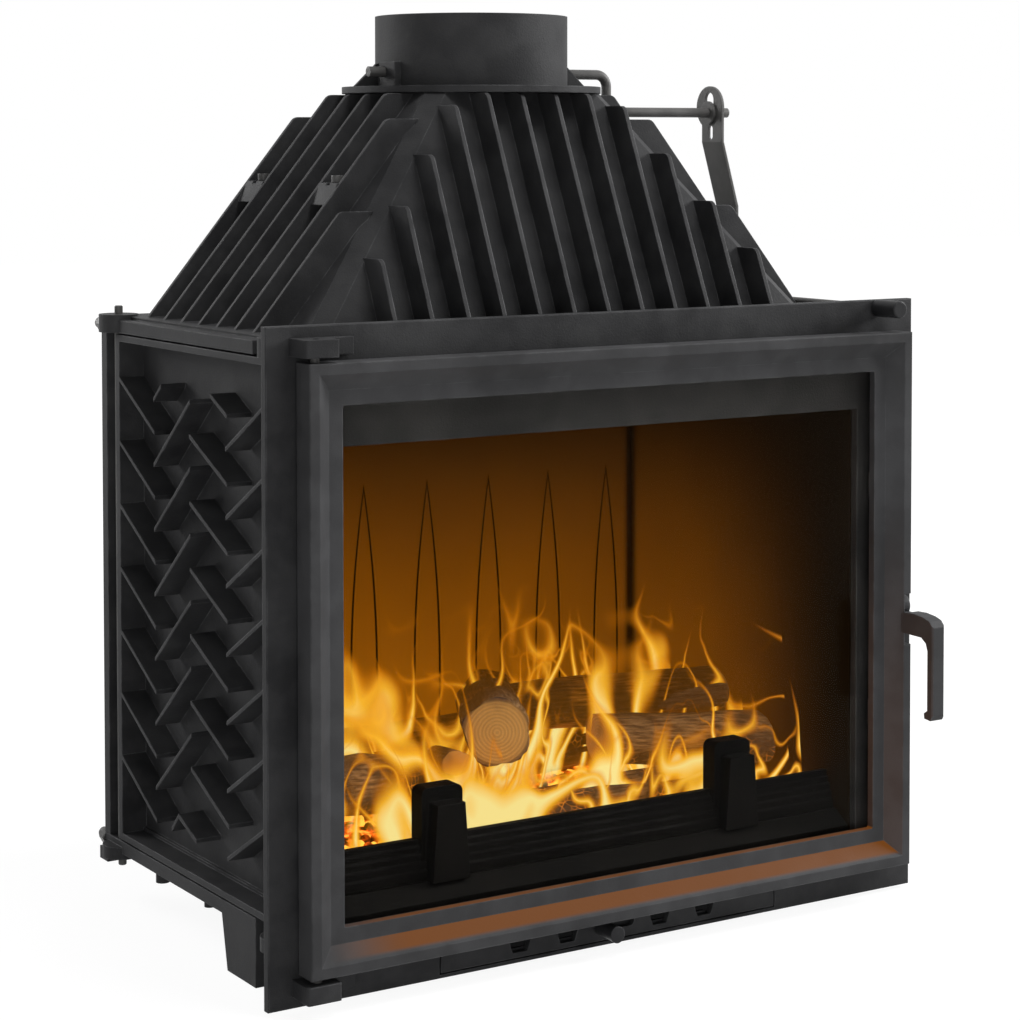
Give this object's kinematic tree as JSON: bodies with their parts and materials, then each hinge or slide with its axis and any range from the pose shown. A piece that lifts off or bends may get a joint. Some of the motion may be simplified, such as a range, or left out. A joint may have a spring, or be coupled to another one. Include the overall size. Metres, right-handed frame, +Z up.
{
  "type": "fireplace insert",
  "caption": "Cast iron fireplace insert with a framed glass door, ribbed smoke hood, round flue collar with damper, sliding air shutter and finned side panels.",
  "frame": {"origin": "centre of the overall bounding box in X and Y, at the level of the feet", "axes": "+X to the right seen from the room, +Y into the chimney, +Z up"},
  "size_m": [0.7, 0.497, 0.853],
  "materials": {
    "cast": "matt grey cast iron",
    "lining": "fire-browned cast iron",
    "door": "dark painted cast iron",
    "glass": "clear ceramic glass",
    "steel": "worn bare steel",
    "black": "black painted steel",
    "rope": "woven glass-fibre rope"
  },
  "bodies": {
    "stove": {"base_casting": "cast", "side_panel_left": "cast", "side_panel_right": "cast", "rear_panel": "cast", "rear_studs": "steel", "rear_nuts": "steel", "tie_rods": "steel", "front_plate": "cast", "smoke_hood": "cast", "hood_screws": "steel", "flue_collar": "cast", "air_panel": "cast", "hinge_blocks": "cast", "hinge_pins": "steel", "latch_catch": "black", "lining_back": "lining", "lining_left": "lining", "lining_right": "lining", "baffle_plate": "lining", "ash_tray": "black", "fire_grate": "lining", "ash_apron": "cast"},
    "door": {"door_frame": "door", "glass_gasket": "rope", "door_glass": "glass", "glass_clips": "black", "clip_screws": "steel", "door_seal": "rope", "handle_pin": "steel"},
    "handle": {"door_handle": "door"},
    "damper": {"damper_axle": "steel", "damper_blade": "black", "blade_screws": "steel", "crank_washer": "steel"},
    "pull": {"damper_strap": "steel", "damper_rod": "steel", "strap_bolt": "steel", "damper_knob": "black"},
    "shutter": {"air_shutter": "black", "air_stem": "steel", "air_knob": "black"},
    "fence": {"log_fence": "cast"}
  },
  "joints": [
    {"name": "door_hinge", "type": "hinge", "parent": "stove", "child": "door", "pos_m": [-0.313, -0.19, 0.28], "axis": [0, 0, -1], "range_deg": [0, 110]},
    {"name": "handle_turn", "type": "hinge", "parent": "door", "child": "handle", "pos_m": [0.324, -0.1875, 0.284], "axis": [-1, 0, 0], "range_deg": [0, 40]},
    {"name": "damper_pull", "type": "slide", "parent": "stove", "child": "pull", "axis": [0, -1, 0], "range_m": [0, 0.03]},
    {"name": "damper_turn", "type": "hinge", "parent": "stove", "child": "damper", "pos_m": [0, 0.0755, 0.7985], "axis": [-1, 0, 0], "range_deg": [0, 50.5]},
    {"name": "air_slide", "type": "slide", "parent": "stove", "child": "shutter", "axis": [1, 0, 0], "range_m": [0, 0.029]},
    {"name": "fence_lift", "type": "slide", "parent": "stove", "child": "fence", "axis": [0, 0, 1], "range_m": [0, 0.1]}
  ],
  "couplings": [
    {"joint": "damper_turn", "follows": "damper_pull", "rad_per_m": 29.09}
  ]
}
